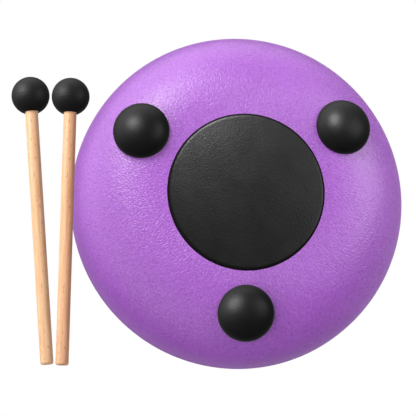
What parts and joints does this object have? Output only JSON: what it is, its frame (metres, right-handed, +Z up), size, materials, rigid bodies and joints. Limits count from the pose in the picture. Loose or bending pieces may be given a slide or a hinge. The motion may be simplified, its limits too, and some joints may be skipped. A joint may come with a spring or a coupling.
{
  "type": "steel tongue drum",
  "caption": "Small steel tongue drum with a domed upper shell cut into tongues, a rubber disc on its base, rubber feet, and ball-headed wooden mallets lying beside it.",
  "frame": {"origin": "on the drum's axis, on the plane that the three feet stand on", "axes": "+Z up along the drum's axis, +X from the drum towards the mallets, +Y away from the player"},
  "size_m": [0.1831, 0.1562, 0.0784],
  "materials": {
    "purple_paint": "grained satin paint",
    "weld_paint": "painted weld, ground flush",
    "disc_rubber": "grained matt",
    "tape": "double-sided foam tape",
    "foot_rubber": "smooth satin",
    "zinc_steel": "zinc plated",
    "beech": "sanded, lightly waxed",
    "head_rubber": "matt moulded"
  },
  "bodies": {
    "drum": {"upper_shell": "purple_paint", "lower_shell": "purple_paint", "rim_weld": "weld_paint", "base_disc": "disc_rubber", "disc_tape": "tape", "front_foot": "foot_rubber", "front_foot_stud": "zinc_steel", "front_foot_washer": "zinc_steel", "front_foot_nut": "zinc_steel", "rear_left_foot": "foot_rubber", "rear_left_foot_stud": "zinc_steel", "rear_left_foot_washer": "zinc_steel", "rear_left_foot_nut": "zinc_steel", "rear_right_foot": "foot_rubber", "rear_right_foot_stud": "zinc_steel", "rear_right_foot_washer": "zinc_steel", "rear_right_foot_nut": "zinc_steel"},
    "outer_mallet": {"outer_mallet_stick": "beech", "outer_mallet_head": "head_rubber"},
    "inner_mallet": {"inner_mallet_stick": "beech", "inner_mallet_head": "head_rubber"}
  },
  "joints": [
    {"name": "outer_mallet_lift", "type": "slide", "parent": "drum", "child": "outer_mallet", "axis": [0.1736, 0, 0.9848], "range_m": [0, 0.12]},
    {"name": "inner_mallet_lift", "type": "slide", "parent": "drum", "child": "inner_mallet", "axis": [0.1736, 0, 0.9848], "range_m": [0, 0.12]}
  ]
}
